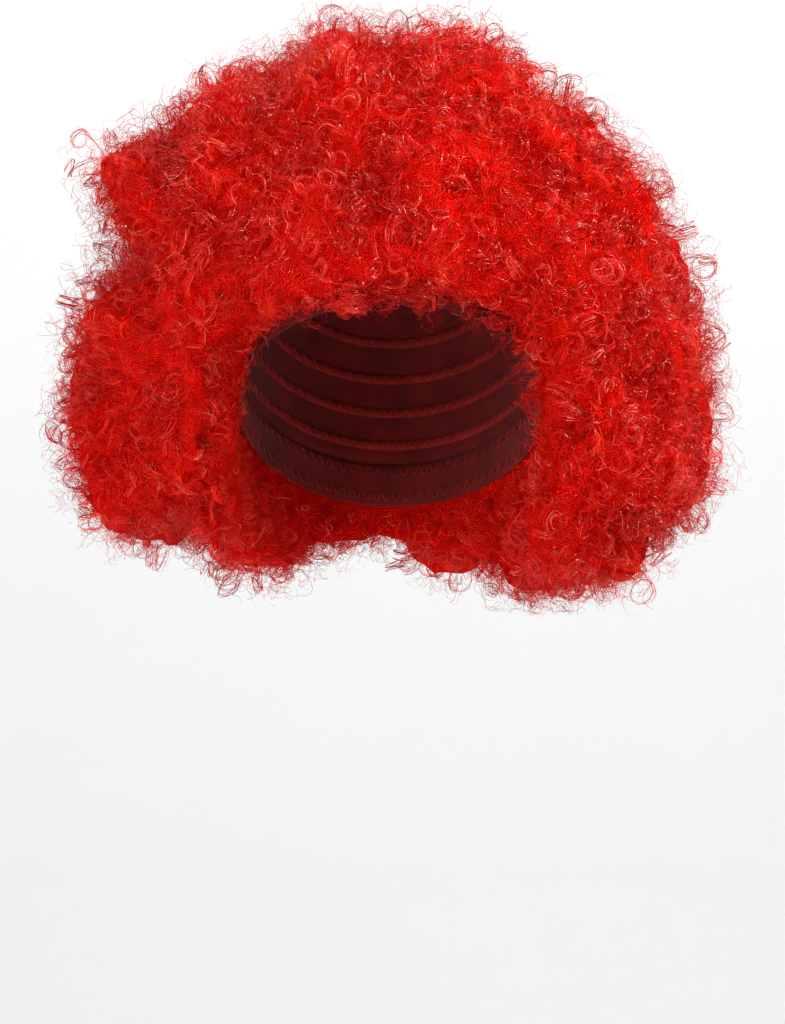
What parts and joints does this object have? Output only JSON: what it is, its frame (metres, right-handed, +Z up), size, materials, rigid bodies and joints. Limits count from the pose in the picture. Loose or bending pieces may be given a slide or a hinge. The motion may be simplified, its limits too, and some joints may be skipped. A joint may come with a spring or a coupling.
{
  "type": "curly clown wig",
  "caption": "Round, tightly curled costume wig with an open face, sewn to a stretch cap with an elastic edge band that sits on the head.",
  "frame": {"origin": "the inside top of the cap, where it rests on the crown of the head", "axes": "+Z up; the face opening looks along -Y; +X is the wearer's left"},
  "size_m": [0.3221, 0.3137, 0.2775],
  "materials": {
    "net": "matt knitted stretch net",
    "elastic": "matt ribbed elastic",
    "hair": "silky synthetic fibre in tight curls"
  },
  "bodies": {
    "root": {"cap": "net", "edge_band": "elastic", "crown_hair": "hair", "fringe_hair": "hair", "left_hair": "hair", "back_hair": "hair", "right_hair": "hair"}
  },
  "joints": []
}
